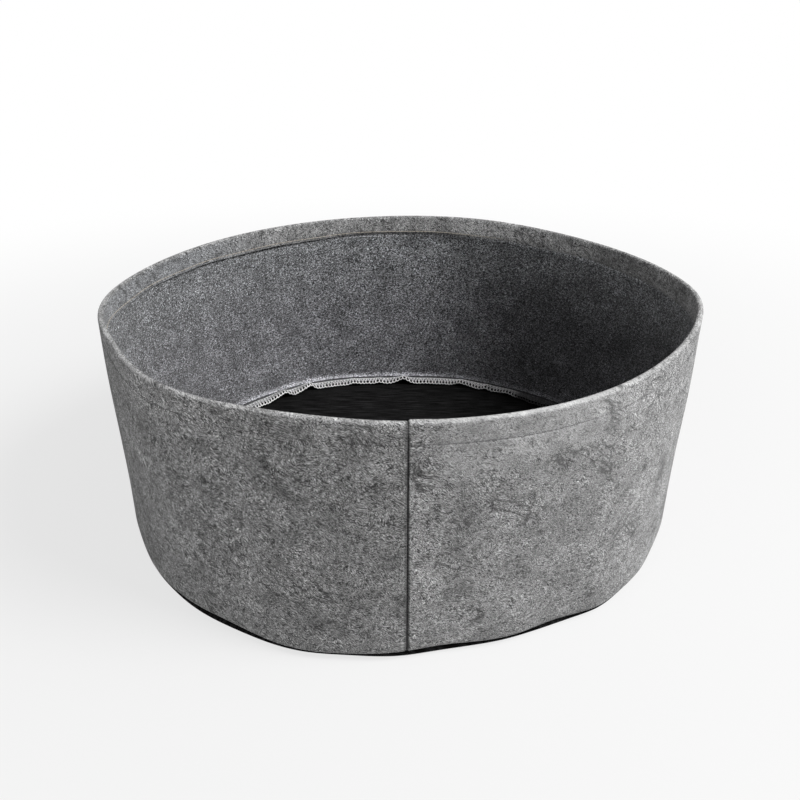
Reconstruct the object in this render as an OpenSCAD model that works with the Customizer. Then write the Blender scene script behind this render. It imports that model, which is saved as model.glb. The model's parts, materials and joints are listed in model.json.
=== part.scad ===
// Round fabric planter bag: one felt strip closed by a single side seam,
// a turned-in hem at the rim and a dark base disc sewn in with its
// allowance turned to the inside.
// Millimetres, +Z up, origin at the centre of the base, on the ground.
// The side seam faces -Y.

/* [Bag] */
// Outer diameter across the rim
rim_d = 600; // [400:10:900]
// Outer diameter where the wall leaves the rounded lower corner
base_d = 588; // [392:2:892]
// Height from the ground to the top of the rim
bag_h = 233; // [150:1:400]
// Outer radius of the rounded lower corner
corner_r = 6.5; // [5:0.5:12]

/* [Felt] */
// Thickness of the wall felt
felt_t = 2.8; // [2:0.1:3.6]

/* [Hem] */
// Depth of the turned-in hem, from the top of the rim to its raw edge
hem_depth = 24; // [16:1:40]
// Distance of the stitch row from the raw edge of the hem
hem_inset = 3.5; // [2:0.5:6]

/* [Base] */
// Thickness of the base fabric
base_t = 1.5; // [1:0.1:2]
// Space inside the folded edge of the base fabric
base_gap = 1.1; // [0.9:0.1:1.6]
// Width of the sewn allowance of the base seam, inside the corner
base_allow = 14; // [9:1:20]

/* [Side seam] */
// Width of the sewn allowance of the side seam
side_allow = 14; // [11:1:20]
// Width and depth of the valley on the outside of the seam
valley = 1.1; // [0.9:0.1:1.4]

/* [Thread] */
// Thickness of the sewing thread
thread_d = 0.6; // [0.4:0.1:0.7]

/* [Hidden] */

clear = 0.1;                        // gap between touching pieces
tr = thread_d / 2;
gr = tr + 0.06;                     // groove that a thread lies in
turn = (felt_t + 0.4) / 2;          // centreline radius of the hem fold

// Wall line: slope, top of the centreline and the lower corner
lean = atan((rim_d - base_d) / 2 / (bag_h - corner_r));
up = [sin(lean), cos(lean)];
inw = [-cos(lean), sin(lean)];
top_z = bag_h - turn - felt_t / 2 - turn * sin(lean);
top_r = rim_d / 2 - felt_t / 2 - turn * (1 - cos(lean));
flange_z = 2 * base_t + base_gap + clear + felt_t / 2;
corner_c = corner_r - felt_t / 2;   // centreline radius of the corner
corner_z = flange_z + corner_c;
wall_len = (top_z - corner_z + corner_c * sin(lean)) / cos(lean);
corner_x = top_r - wall_len * sin(lean) - corner_c * cos(lean);
edge_r = corner_x - base_allow;     // free edge of the base allowance
base_edge = corner_x + 4;           // outermost radius of the base fold

// Centreline of the felt, from the free edge of the base allowance, round
// the corner, up the wall, over the rim and down to the hem's raw edge
pt = [top_r, top_z];
fold_c = pt + turn * inw;
hem_len = hem_depth - turn - felt_t / 2;
steps = 10;
line = concat(
    [[edge_r, flange_z]],
    [for (i = [0:steps]) let (a = -90 + i * (90 - lean) / steps)
        [corner_x + corner_c * cos(a), corner_z + corner_c * sin(a)]],
    [for (i = [0:steps]) let (a = -lean + i * 180 / steps)
        fold_c + turn * [cos(a), sin(a)]],
    [fold_c + turn * inw - hem_len * up]);

function unit(v) = v / norm(v);
function left(v) = [-v[1], v[0]];
// Normal of a polyline at a point, scaled so that both sides stay parallel
function nrm(p, i) =
    let (n = len(p) - 1,
         a = i == 0 ? unit(p[1] - p[0]) : unit(p[i] - p[i - 1]),
         b = i == n ? unit(p[n] - p[n - 1]) : unit(p[i + 1] - p[i]),
         m = unit(a + b))
    left(m) / (m * a);
function band(p, t) = concat(
    [for (i = [0:len(p) - 1]) p[i] - t / 2 * nrm(p, i)],
    [for (i = [len(p) - 1:-1:0]) p[i] + t / 2 * nrm(p, i)]);

// A point on the wall's outer face, s above the corner, d into the bag
function on_wall(s, d) =
    pt - (wall_len - s) * up + (d - felt_t / 2) * inw;

// Stitch row of the hem
row_s = wall_len - hem_len + hem_inset;
hem_out = on_wall(row_s, 0);
hem_in = on_wall(row_s, 2 * felt_t + 2 * turn - felt_t);

// Stitch rows of the base allowance
flange_top = flange_z + felt_t / 2;
chain_r = corner_x - 0.8;
row_r = edge_r + 5.5;

module ring(p) rotate_extrude($fn = 160) translate(p) circle(r = tr, $fn = 24);

// A piece of the wall's meridian: s0 to s1 up the wall, d0 to d1 into the
// bag, from w0 to w1 along the wall, measured from the side seam
module meridian(s0, s1, d0, d1, w0, w1)
    rotate([0, 0, -90 + w0 * 360 / (PI * base_d)])
        rotate_extrude(angle = (w1 - w0) * 360 / (PI * base_d), $fn = 160)
            polygon([on_wall(s0, d0), on_wall(s1, d0),
                     on_wall(s1, d1), on_wall(s0, d1)]);

// The side seam's allowances lie against the inside of the wall: the first
// layer next to the wall, the second over it
seam_lo = 3;
seam_hi = wall_len - hem_len - 1.5;
d1a = felt_t + 0.3;
d1b = d1a + felt_t;
d2a = d1b + 0.3;
d2b = d2a + felt_t;

module side_wall() color([0.47, 0.47, 0.48])
    difference() {
        union() {
            rotate_extrude($fn = 160) difference() {
                polygon(band(line, felt_t));
                translate(hem_out) circle(r = gr, $fn = 24);
                translate(hem_in) circle(r = gr, $fn = 24);
                translate([chain_r, flange_top]) circle(r = gr, $fn = 24);
                translate([row_r, flange_top]) circle(r = gr, $fn = 24);
            }
            meridian(seam_lo, seam_hi, d1a, d1b, 1.6, side_allow);
            meridian(seam_lo, seam_hi, d2a, d2b, 0, side_allow);
            meridian(seam_lo, seam_hi, felt_t / 2 + 0.6, d2b, 0, 2.8);
        }
        meridian(0, wall_len, -2, valley, -valley / 2, valley / 2);
    }

module base_panel() color([0.07, 0.07, 0.075]) {
    fold_r = base_t + base_gap / 2;
    rotate_extrude($fn = 160) union() {
        square([base_edge - fold_r, base_t]);
        translate([base_edge - fold_r, fold_r]) difference() {
            circle(r = fold_r, $fn = 48);
            circle(r = base_gap / 2, $fn = 48);
            translate([-2 * fold_r, -2 * fold_r])
                square([2 * fold_r, 4 * fold_r]);
        }
        translate([edge_r, base_t + base_gap])
            square([base_edge - fold_r - edge_r, base_t]);
    }
}

module hem_needle_thread() color([0.30, 0.30, 0.31]) ring(hem_out);
module hem_bobbin_thread() color([0.80, 0.76, 0.68]) ring(hem_in);

module side_chain_needle_thread() color([0.30, 0.30, 0.31])
    meridian(1, wall_len - 1, valley - 0.1 - thread_d, valley - 0.1, -tr, tr);
module side_chain_looper_thread() color([0.82, 0.82, 0.82])
    meridian(seam_lo, seam_hi, d2b + clear, d2b + clear + thread_d, 4 - tr, 4 + tr);
module side_overlock_needle_thread() color([0.82, 0.82, 0.82])
    meridian(seam_lo, seam_hi, d2b + clear, d2b + clear + thread_d,
             side_allow - 7 - tr, side_allow - 7 + tr);
module side_overlock_upper_looper_thread() color([0.85, 0.85, 0.85])
    meridian(seam_lo, seam_hi, d2a + 1, d2a + 1 + thread_d,
             side_allow + clear, side_allow + clear + thread_d);
module side_overlock_lower_looper_thread() color([0.85, 0.85, 0.85])
    meridian(seam_lo, seam_hi, d1a + 1, d1a + 1 + thread_d,
             side_allow + clear, side_allow + clear + thread_d);

module base_chain_needle_thread() color([0.30, 0.30, 0.31])
    ring([chain_r, flange_top]);
module base_chain_looper_thread() color([0.82, 0.82, 0.82])
    ring([chain_r, base_t + base_gap / 2]);
module base_overlock_needle_thread() color([0.82, 0.82, 0.82])
    ring([row_r, flange_top]);
module base_overlock_upper_looper_thread() color([0.85, 0.85, 0.85])
    ring([edge_r - tr - clear, flange_z + 0.5]);
module base_overlock_lower_looper_thread() color([0.85, 0.85, 0.85])
    ring([edge_r - tr - clear, 1.5 * base_t + base_gap]);

side_wall();
base_panel();
hem_needle_thread();
hem_bobbin_thread();
side_chain_needle_thread();
side_chain_looper_thread();
side_overlock_needle_thread();
side_overlock_upper_looper_thread();
side_overlock_lower_looper_thread();
base_chain_needle_thread();
base_chain_looper_thread();
base_overlock_needle_thread();
base_overlock_upper_looper_thread();
base_overlock_lower_looper_thread();
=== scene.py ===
import json
import math

import bpy
import numpy as np
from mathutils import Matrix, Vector

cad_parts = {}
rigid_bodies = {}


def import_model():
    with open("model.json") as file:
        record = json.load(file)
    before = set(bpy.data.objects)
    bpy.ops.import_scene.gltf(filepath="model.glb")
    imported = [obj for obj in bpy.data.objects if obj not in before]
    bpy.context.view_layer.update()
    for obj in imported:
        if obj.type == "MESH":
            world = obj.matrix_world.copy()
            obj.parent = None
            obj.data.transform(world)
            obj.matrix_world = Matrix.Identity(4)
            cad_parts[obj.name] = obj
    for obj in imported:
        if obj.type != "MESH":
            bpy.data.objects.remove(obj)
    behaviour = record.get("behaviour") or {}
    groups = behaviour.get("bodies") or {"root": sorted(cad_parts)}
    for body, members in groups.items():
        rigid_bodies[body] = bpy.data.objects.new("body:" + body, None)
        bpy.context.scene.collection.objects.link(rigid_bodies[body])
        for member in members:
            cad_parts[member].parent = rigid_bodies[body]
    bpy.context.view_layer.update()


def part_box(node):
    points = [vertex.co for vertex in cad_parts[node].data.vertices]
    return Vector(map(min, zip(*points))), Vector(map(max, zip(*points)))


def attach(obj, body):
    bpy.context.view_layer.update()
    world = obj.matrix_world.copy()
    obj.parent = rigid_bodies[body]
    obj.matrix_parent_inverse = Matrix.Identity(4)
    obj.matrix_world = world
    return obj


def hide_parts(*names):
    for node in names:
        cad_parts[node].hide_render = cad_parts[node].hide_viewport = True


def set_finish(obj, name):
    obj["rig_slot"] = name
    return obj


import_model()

MM = 0.001
PI = math.pi
rng = np.random.default_rng(11)

# ---------------------------------------------------------------- sizes (mm)
wall_lo, wall_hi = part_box("side_wall")
RIM = (wall_hi.x - wall_lo.x) / 2 / MM          # rim radius of the CAD wall
TOP = wall_hi.z / MM                            # rim height
HEM_Z = (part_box("hem_needle_thread")[0].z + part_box("hem_needle_thread")[1].z) / 2 / MM
BASE_LO, BASE_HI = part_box("base_panel")
FELT = 2.8
FOLD = 3.0                                      # face-side radius of the rim fold
HEM = 24.0
CORNER = 6.5
ALLOW = 14.0
BASE_T = 1.5
PLY = BASE_HI.z / MM                            # folded base fabric, both layers


def sm(x):
    x = np.clip(x, 0.0, 1.0)
    return x * x * (3 - 2 * x)


def wrap(t, c):
    """Angle from c (degrees), -180 to 180, for angles t in radians."""
    return (np.degrees(t) - c + 180.0) % 360.0 - 180.0


# ------------------------------------------------------- outline of the bag
# Radii every 7.5 degrees, from -180, as shares of the rim radius. The soft wall stands
# a little out of round: creased to a point at the right, cornered along the base.
TURN = 1.3
RIM_SHAPE = [1.0131, 1.0166, 1.0113, 1.0032, 1.0015, 1.012, 1.0246, 1.0291, 1.0234, 1.0117, 1.0055, 1.0067,
             1.0101, 1.0102, 1.01, 1.0095, 1.0058, 1.0002, 0.9948, 0.992, 0.9943, 1.0028, 1.0153, 1.0306,
             1.0373, 1.031, 1.0224, 1.0146, 1.0095, 1.0077, 1.0103, 1.0184, 1.0299, 1.0405, 1.0458, 1.0463,
             1.0439, 1.0394, 1.0337, 1.0258, 1.0158, 1.0063, 0.9976, 0.9905, 0.9865, 0.9881, 0.9937, 1.003]
BASE_SHAPE = [0.9773, 0.98, 0.9811, 0.9774, 0.9822, 0.993, 1.0016, 1.0049, 1.0041, 1.014, 1.0196, 1.007,
              0.9977, 0.9763, 0.977, 0.9761, 0.9759, 0.9938, 0.9906, 0.9862, 0.9763, 0.976, 0.9807, 0.9825,
              0.9842, 0.9856, 0.9869, 0.9883, 0.985, 0.9818, 0.9789, 0.9759, 0.9756, 0.9786, 0.9804, 0.97,
              0.9633, 0.9657, 0.9768, 0.9827, 0.9794, 0.9682, 0.9611, 0.9591, 0.9604, 0.9638, 0.9683, 0.9731]


class Ring:
    """Smooth closed curve through evenly spaced values."""

    def __init__(self, values):
        y = np.array(values, float)
        n = len(y)
        m = np.eye(n) * 4 + np.roll(np.eye(n), 1, 1) + np.roll(np.eye(n), -1, 1)
        h = 2 * PI / n
        self.k = np.linalg.solve(m, 6 * (np.roll(y, -1) - 2 * y + np.roll(y, 1)) / h ** 2)
        self.y, self.n, self.h = y, n, h

    def __call__(self, t):
        u = ((np.asarray(t, float) + math.radians(TURN) + PI) / self.h) % self.n
        i = np.floor(u).astype(int) % self.n
        j = (i + 1) % self.n
        b = u - np.floor(u)
        a = 1 - b
        return (a * self.y[i] + b * self.y[j]
                + ((a ** 3 - a) * self.k[i] + (b ** 3 - b) * self.k[j]) * self.h ** 2 / 6)


rim_curve, base_curve = Ring(RIM_SHAPE), Ring(BASE_SHAPE)


def rim_r(t):
    return RIM * rim_curve(t)


def base_r(t):
    return RIM * base_curve(t)


def wall_r(t, h):
    """Radius of the wall's outer face at height h."""
    s = np.clip((h - 8.0) / (TOP - 8.0), 0.0, 1.0)
    r = base_r(t) * (1 - s) + rim_r(t) * s
    soft = (0.9 * np.sin(3 * t + h / 60.0 + 0.7) + 0.7 * np.sin(7 * t - h / 45.0 + 2.1)
            + 0.5 * np.sin(12 * t + h / 33.0)) * np.sin(PI * s) ** 0.8
    return r + soft


def curve(t, h):
    """Point and outward normal of the wall's face curve at height h."""
    e = 0.004
    r = wall_r(t, h)
    dr = (wall_r(t + e, h) - wall_r(t - e, h)) / (2 * e)
    c, s = np.cos(t), np.sin(t)
    tx, ty = dr * c - r * s, dr * s + r * c
    n = np.hypot(tx, ty)
    tx, ty = tx / n, ty / n
    return r * c, r * s, ty, -tx


# rise of the rim and the lower edge round the bag
def rim_dz(t):
    d = wrap(t, -90.0) * PI / 180 * RIM
    step = np.where(d > 0, 0.75, -0.65) * np.exp(-np.abs(d) / 26.0)
    return step + 0.5 * np.sin(2 * t + 0.4) + 0.35 * np.sin(5 * t + 1.3)


# Where the base fabric's folded edge ends, from the wall line outwards (negative: tucked under).
EDGE_AT = [-180, -160, -150, -146, -137, -128, -121, -113, -107, -102, -97, -90, -82, -75, -68, -61, -55, -49, -43,
           -35, -22, -8, 10, 30, 50, 72, 90, 112, 135, 158, 180]
EDGE = [-3.0, -4.6, -3.2, -2.7, -3.9, -2.5, -1.7, -3.3, -5.0, -6.2, -5.3, -4.3, -2.9, -4.8, -4.7, -2.9, -5.3, -4.0,
        -4.3, -3.4, -4.6, -2.6, -4.4, -2.4, -4.8, -2.8, -4.3, -2.4, -4.6, -2.2, -3.0]


def fold_edge(t):
    d = (np.degrees(t) + TURN + 180.0) % 360.0 - 180.0
    return sum(np.interp((d + o + 180) % 360 - 180, EDGE_AT, EDGE) for o in (-2.4, -1.2, 0.0, 1.2, 2.4)) / 5


# How far the wall's lower edge stands above the folded base fabric's flat height.
RISE_AT = [-180, -156, -151, -146, -139, -130, -122, -116, -112, -104, -96, -91, -86, -80, -73, -70, -67, -62, -57,
           -52, -40, 180]
RISE = [0.0, 0.0, 0.9, 0.3, 1.2, 2.6, 2.4, 0.8, -0.2, -0.2, 0.0, 1.6, 2.4, 1.8, 0.5, 0.1, 1.0, 2.3, 1.3, 0.0, 0.0, 0.0]


def sole(t):
    """Height of the seam between wall and base."""
    d = (np.degrees(t) + TURN + 180.0) % 360.0 - 180.0
    return PLY + 0.1 + sum(np.interp(d + o, RISE_AT, RISE) for o in (-1.5, 0.0, 1.5)) / 3


# The sewn allowance has spare length, so it buckles up in short tucks.
TUCKS = [(134.0, 6, 3.0, 3.0), (125.4, 27, 3.6, 1.8), (116.6, 27, 3.4, 1.2), (103.5, 10, 1.3, 2.2), (96.0, 9, 1.0, 1.6),
         (88.9, 25, 2.4, 1.9), (72.0, 15, 1.7, 3.0), (64.0, 11, 1.1, 1.6),
         (57, 14, 3, 3), (41, 22, 2.2, 5), (22, 18, 4, 2), (4, 23, 3, 3), (-15, 15, 5, 2), (-33, 24, 2.5, 4),
         (-52, 16, 3, 3), (-69, 22, 4, 2.4), (-104, 21, 3, 4), (-121, 14, 2.5, 2.5), (-138, 24, 4, 2.4),
         (-156, 17, 3, 3.5), (-173, 22, 2.4, 4), (169, 15, 3.4, 2.4), (152, 21, 2.5, 3.5)]


def lift(t):
    a = np.zeros_like(t)
    for c, amp, left, right in TUCKS:
        d = wrap(t, c - TURN)
        w = np.where(d > 0, left, right)
        a = np.maximum(a, amp * np.exp(-np.abs(d / w) ** 1.6))
    return np.radians(a + 5.5 + 1.0 * np.sin(23 * t) + 0.8 * np.sin(37 * t + 1))


def trim(t):
    """Uneven cutting of the allowance's free edge."""
    return 0.7 * np.sin(9 * t + 0.5) + 0.5 * np.sin(21 * t + 2) + 0.5 * np.sin(47 * t) + 0.35 * np.sin(83 * t + 1)


SEAM = -90.0
R0 = base_r(np.array([-PI / 2]))[0]


def theta(w):
    """Angle of a point w mm to the right of the side seam, seen from outside."""
    return math.radians(SEAM) + np.asarray(w, float) / (RIM * 0.985)


def seam_w(t):
    return wrap(t, SEAM) * PI / 180 * RIM * 0.985


PIVOT = CORNER + 0.8


def place(t, a, b, na, nb, zone, d):
    """A point of the felt. t angle, (a, b) the face profile's place from the wall line and
    the ground, (na, nb) the way to the fabric's back, zone which part of the strip, d depth."""
    low = sm(1 - (b - 4.0) / 30.0)
    h = b + low * (sole(t) - PLY - 0.1)
    if zone == "flange":
        dist = PIVOT + a                     # a is negative inwards
        dist = -dist
        dist = dist * (1 + trim(t) / ALLOW)
        al = lift(t) * sm(dist / 3.0)
        a2 = -PIVOT - dist * np.cos(al)
        h = sole(t) + np.maximum(dist, 0) * np.sin(al)
        na2, nb2 = na * np.cos(al) + nb * np.sin(al), nb * np.cos(al) - na * np.sin(al)
        a, na, nb = a2, na2, nb2
    else:
        a = a + 0 * t
        na, nb = na + 0 * t, nb + 0 * t
    high = sm((b - (TOP - 60)) / 60.0)
    w = seam_w(t)
    bulge = sm((w + 7) / 8) * sm((23 - w) / 9)
    if zone == "hem":
        down = (TOP - b) / HEM
        h = TOP - (TOP - b) * (1 + 0.035 * np.sin(6 * t + 1) + 0.02 * np.sin(17 * t))
        a = a - bulge * 4.4 * sm(0.35 + 0.65 * down) - 0.5 * sm(down) * (1 + np.sin(4 * t + 2) * np.sin(11 * t))
    elif zone == "fold":
        a = a - bulge * 1.6 * (-a / (2 * FOLD))
    if zone in ("wall", "fold", "hem"):
        a = a + bulge * 0.7 * sm((b - TOP + 40) / 30)
        h = h + high * rim_dz(t)
    x, y, nx, ny = curve(t, np.where(b > TOP, TOP, b) + 0 * t)
    rr = a + d * na
    zz = h + d * nb
    return np.stack([x + nx * rr, y + ny * rr, zz], -1) * MM, np.stack([nx * na, ny * na, nb + 0 * t], -1)


# ---------------------------------------------------------------- mesh tools
def new_mesh(name, verts, faces, attrs=None, smooth=True, sharp=40):
    me = bpy.data.meshes.new(name)
    me.from_pydata([tuple(v) for v in np.asarray(verts).tolist()], [], [tuple(f) for f in faces])
    me.validate(verbose=False)
    for key, val in (attrs or {}).items():
        at = me.attributes.new(key, "FLOAT_VECTOR", "POINT")
        at.data.foreach_set("vector", np.asarray(val, np.float32).ravel())
    if smooth:
        me.shade_smooth()
        if sharp:
            me.set_sharp_from_angle(angle=math.radians(sharp))
    me.update()
    ob = bpy.data.objects.new(name, me)
    bpy.context.scene.collection.objects.link(ob)
    return ob


def tube(points, radius, up, sides=6, closed=False, phase=0.0):
    """Vertices and faces of a round thread along points, with up as the rough surface normal."""
    p = np.asarray(points, float)
    n = len(p)
    if closed:
        tan = np.roll(p, -1, 0) - np.roll(p, 1, 0)
    else:
        tan = np.gradient(p, axis=0)
    tan /= np.linalg.norm(tan, axis=1)[:, None] + 1e-12
    up = np.broadcast_to(np.asarray(up, float), p.shape)
    side = np.cross(tan, up)
    ln = np.linalg.norm(side, axis=1)[:, None]
    alt = np.cross(tan, np.roll(up, 1, axis=1) + 0.3)
    side = np.where(ln < 0.15, alt, side)
    side /= np.linalg.norm(side, axis=1)[:, None] + 1e-12
    # the frame's second axis, across the side and the tangent
    nor = np.cross(side, tan)
    ang = np.arange(sides) * 2 * PI / sides + phase
    r = np.broadcast_to(np.asarray(radius, float), (n,))
    ring = (side[:, None, :] * np.cos(ang)[None, :, None] + nor[:, None, :] * np.sin(ang)[None, :, None]) * r[:, None, None]
    v = (p[:, None, :] + ring).reshape(-1, 3)
    along = np.concatenate([[0], np.cumsum(np.linalg.norm(np.diff(p, axis=0), axis=1))])
    at = np.zeros((n, sides, 3))
    at[:, :, 0] = along[:, None]
    at[:, :, 1] = ang[None, :]
    f = []
    m = n if closed else n - 1
    i = np.arange(m)[:, None]
    j = np.arange(sides)[None, :]
    a = i * sides + j
    b = i * sides + (j + 1) % sides
    c = ((i + 1) % n) * sides + (j + 1) % sides
    d = ((i + 1) % n) * sides + j
    f = np.stack([a, b, c, d], -1).reshape(-1, 4).tolist()
    if not closed:
        f.append(list(range(sides))[::-1])
        f.append([(n - 1) * sides + k for k in range(sides)])
    return v, f, at.reshape(-1, 3)


def spline(points, per=3, closed=False):
    """Catmull-Rom points through a list of points."""
    p = np.asarray(points, float)
    if closed:
        p = np.concatenate([p[-1:], p, p[:2]])
    else:
        p = np.concatenate([2 * p[:1] - p[1:2], p, 2 * p[-1:] - p[-2:-1]])
    t = (np.arange(per) / per)[None, :, None]
    a, b, c, d = p[:-3, None], p[1:-2, None], p[2:-1, None], p[3:, None]
    q = 0.5 * (2 * b + (c - a) * t + (2 * a - 5 * b + 4 * c - d) * t ** 2 + (3 * b - a - 3 * c + d) * t ** 3)
    q = q.reshape(-1, p.shape[1])
    if not closed:
        q = np.concatenate([q, p[-2:-1]])
    return q


def piece(ob, node, slot):
    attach(ob, "root")
    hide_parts(node)
    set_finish(ob, slot)
    return ob


# ---------------------------------------------------------------- felt wall
def profile():
    """Rows of the strip: (a, b, zone), from the allowance's free edge to the hem's raw edge."""
    rows = []
    z0 = PLY + 0.1
    end = -(CORNER + ALLOW)
    for a in (end, end + 0.5, end + 1.4, end + 2.8, end + 4.6, end + 6.8, end + 9.0):
        rows.append((a, z0, "flange"))
    for u in (-3.0, -2.1, -1.4, -0.9, -0.45, 0.0, 0.45):
        rows.append((-PIVOT + u, z0, "flange"))
    for u in (-90, -86, -81, -74, -64, -52, -39, -26, -13, 0):
        rows.append((-CORNER + CORNER * math.cos(math.radians(u)), z0 + CORNER + CORNER * math.sin(math.radians(u)), "corner"))
    bs = list(np.linspace(z0 + CORNER, HEM_Z - 6, 36)[1:])
    bs += [HEM_Z - 3.5, HEM_Z - 2, HEM_Z - 1, HEM_Z, HEM_Z + 1, HEM_Z + 2, HEM_Z + 4, HEM_Z + 8, HEM_Z + 12, TOP - FOLD - 2]
    for b in bs:
        rows.append((0.0, b, "wall"))
    for k in range(0, 11):
        u = 180 * k / 10
        rows.append((-FOLD + FOLD * math.cos(math.radians(u)), TOP - FOLD + FOLD * math.sin(math.radians(u)), "fold"))
    for b in [TOP - FOLD - 3, HEM_Z + 9, HEM_Z + 5, HEM_Z + 2.4, HEM_Z + 1.2, HEM_Z, HEM_Z - 1.2, HEM_Z - 2.3, TOP - HEM]:
        rows.append((-2 * FOLD, b, "hem"))
    return rows


ROWS = profile()
ra = np.array([r[0] for r in ROWS])
rb = np.array([r[1] for r in ROWS])
seg = np.stack([np.gradient(ra), np.gradient(rb)], 1)
seg /= np.linalg.norm(seg, axis=1)[:, None]
RN = np.stack([-seg[:, 1], seg[:, 0]], 1)
RV = np.concatenate([[0], np.cumsum(np.hypot(np.diff(ra), np.diff(rb)))])

I_PIVOT = min(range(len(ROWS)), key=lambda i: abs(ROWS[i][0] + PIVOT) if ROWS[i][2] == "flange" else 99)
RHO = 1.15
GAP = 0.6
CW = RHO + GAP
TH0 = 0.95


def ease(w, lo, hi):
    return lo + (hi - lo) * sm((w - CW) / (6.4 - CW))


def columns():
    """Places of the sheet's two sides in the seam's cross-section: (w face, D face, w back, D back, part)."""
    out = []
    near = [1.8, 2.7, 4.0, 5.4, 7.0, 9.0, 11.5, 14.0]
    for w in near[::-1]:
        out.append((w, ease(w, 2 * RHO, 2 * FELT + 0.3), w, ease(w, 2 * RHO - TH0, FELT + 0.3), "a1"))
    for u in (90, 115, 140, 165):
        c, s = math.cos(math.radians(u)), math.sin(math.radians(u))
        out.append((CW + RHO * c, RHO + RHO * s, CW + 0.1 * c, RHO + 0.1 * s, "a1"))
    for u in (180, 200, 220, 240, 255, 270):
        c, s = math.cos(math.radians(u)), math.sin(math.radians(u))
        out.append((CW + RHO * c, RHO + RHO * s, CW + 0.1 * c, RHO + 0.1 * s, "main"))
    right = [1.7, 2.6, 3.9, 5.4, 7.2, 9.4, 12.0, 15.0, 18.2, 21.6]
    for w in right:
        out.append((w, 0.0, w, ease(w, TH0, FELT), "main"))
    full = 2 * PI * RIM * 0.985
    left = [-w for w in right][::-1]
    n = 500
    for w in np.linspace(21.6, full - 21.6, n)[1:-1]:
        out.append((w, 0.0, w, FELT, "main"))
    for w in left:
        out.append((full + w, 0.0, full + w, ease(-w, TH0, FELT), "main"))
    cl = -CW
    for u in (270, 285, 300, 320, 340, 360):
        c, s = math.cos(math.radians(u)), math.sin(math.radians(u))
        out.append((full + cl + RHO * c, RHO + RHO * s, full + cl + 0.1 * c, RHO + 0.1 * s, "main"))
    lw = cl + RHO
    for wf_, df_, wb_, db_ in ((lw, 1.7, lw - TH0, 1.7), (lw + 0.06, 2.15, lw - TH0 + 0.03, 2.5), (lw + 0.32, 2.5, lw - 0.45, 3.2),
                               (lw + 0.75, 2.6, lw + 0.5, 3.54), (lw + 1.25, 2.55, lw + 1.2, 3.5)):
        out.append((full + wf_, df_, full + wb_, db_, "a2"))
    for w in near:
        f = ease(w, 2 * RHO, 2 * FELT + 0.3) + 0.15
        out.append((full + w, f, full + w, f + ease(w, TH0, FELT), "a2"))
    return out


COLS = columns()
wf, df, wb, db = (np.array([c[k] for c in COLS]) for k in range(4))
part = [c[4] for c in COLS]
FULL = 2 * PI * RIM * 0.985
j_main = [j for j, p in enumerate(part) if p == "main"]
JR, JL = j_main[0], j_main[-1]
ROW_N = len(ROWS)
I_LO = next(i for i, r in enumerate(ROWS) if r[2] == "wall" and r[1] > 16)
I_HI = max(i for i, r in enumerate(ROWS) if r[2] == "wall" and r[1] <= TOP - 9)


def valley(w, d, b, zone):
    """Places w shifted apart at the folded lips of the side seam at height b; d is the depth in the cloth."""
    wl = np.where(w > FULL / 2, w - FULL, w)
    open_ = 0.06 + 0.56 * sm((150.0 - b) / 140.0) + 0.07 * math.sin(b * 0.31) + 0.06 * math.sin(b * 0.83 + 1.0) + 0.04 * math.sin(b * 2.1)
    open_ *= 1 - 0.8 * sm((b - 208.0) / 10.0)
    shut = 1.0 if zone in ("fold", "hem") else sm((b - (TOP - 15.0)) / 5.0)
    open_ = open_ * (1 - sm(d / 1.7)) - (GAP - 0.02) * shut * sm(d / (0.9 * RHO)) * (np.abs(wl) < 2.5)
    return w + np.sign(wl) * open_ * np.exp(-((wl / 4.0) ** 2))


def felt_grid():
    face = np.zeros((ROW_N, len(COLS), 3))
    back = np.zeros((ROW_N, len(COLS), 3))
    for i, (a, b, zone) in enumerate(ROWS):
        na, nb = RN[i]
        press = 1.0
        if zone == "wall":
            press = 1 - 0.25 * sm((b - (TOP - HEM - 6)) / 6)
        dip = 0.5 * math.exp(-(((b - HEM_Z) / 1.2) ** 2)) if zone in ("wall", "hem") else 0.0
        d1, d2 = df.copy(), db.copy()
        extra = np.array([p != "main" for p in part])
        d1 = np.where(extra, d1 * press, d1)
        d2 = np.where(extra, d2 * press, d2)
        flat = np.array([p == "main" and abs(x) < 1e-9 for p, x in zip(part, df)])
        if zone in ("wall", "hem"):
            d1 = np.where(flat, d1 + dip, d1)
            if zone == "hem" or b > TOP - HEM:
                d2 = np.where(flat, d2, d2)
        # the safety stitch pinches the back of the felt, and the overlock thins its edge
        if zone in ("flange", "corner") and a < -2:
            u = RV[i] - RV[I_PIVOT]
            pinch = (-1.6 * math.exp(-((u / 0.9) ** 2)) + 1.4 * math.exp(-(((u - 2.5) / 1.1) ** 2))
                     + 0.1 * math.exp(-(((u + 2.2) / 1.0) ** 2)))
            d2 = np.where(flat, d2 + pinch, d2)
        if zone == "flange":
            e = a + CORNER + ALLOW
            d2 = np.where(flat, d2 - 0.9 * (1 - sm(e / 3.2)), d2)
        if zone == "hem":
            e = sm((HEM_Z - b) / (HEM_Z - (TOP - HEM)))
            deg = wrap(theta(wf), 0.0)
            thin = 0.75 + 1.45 * sm((118.0 - deg) / 24.0) * sm((deg + 100.0) / 20.0)
            d1 = np.where(flat, d1 + thin * e, d1)
            d2 = np.where(flat, d2 + 0.05 * e, d2)
        w1, w2 = valley(wf, df, b, zone), valley(wb, np.minimum(df, db), b, zone)
        face[i], _ = place(theta(w1), a, b, na, nb, zone, d1)
        back[i], _ = place(theta(w2), a, b, na, nb, zone, d2)
    # raw edges are a little uneven
    return face, back


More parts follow.
